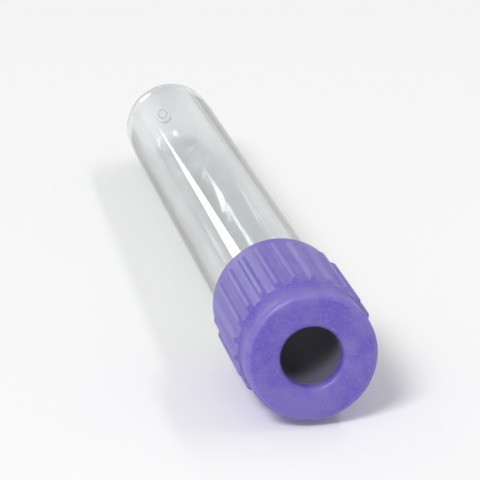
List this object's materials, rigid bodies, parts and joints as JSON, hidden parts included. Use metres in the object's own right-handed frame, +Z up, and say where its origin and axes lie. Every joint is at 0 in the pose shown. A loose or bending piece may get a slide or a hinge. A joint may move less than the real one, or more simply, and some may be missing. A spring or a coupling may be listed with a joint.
{
  "type": "blood collection tube",
  "caption": "Clear plastic blood collection tube with a round bottom, closed by a rubber stopper in a violet ribbed cap with a central needle well.",
  "frame": {"origin": "on the floor under the tube, half way between the cap's face and the round bottom", "axes": "+Z up, +Y along the floor from the cap towards the round bottom, +X to the right seen from the cap's end; the tube's own axis rises towards the cap by about 1.2 degrees"},
  "size_m": [0.0164, 0.1086, 0.0167],
  "materials": {
    "clear_plastic": "clear moulded plastic",
    "stopper_rubber": "dark moulded butyl rubber",
    "cap_plastic": "finely grained moulded plastic"
  },
  "bodies": {
    "tube": {"tube": "clear_plastic"},
    "closure": {"cap": "cap_plastic", "stopper": "stopper_rubber"}
  },
  "joints": [
    {"name": "closure_pull", "type": "slide", "parent": "tube", "child": "closure", "axis": [0, -0.9998, 0.0203], "range_m": [0, 0.03]}
  ]
}
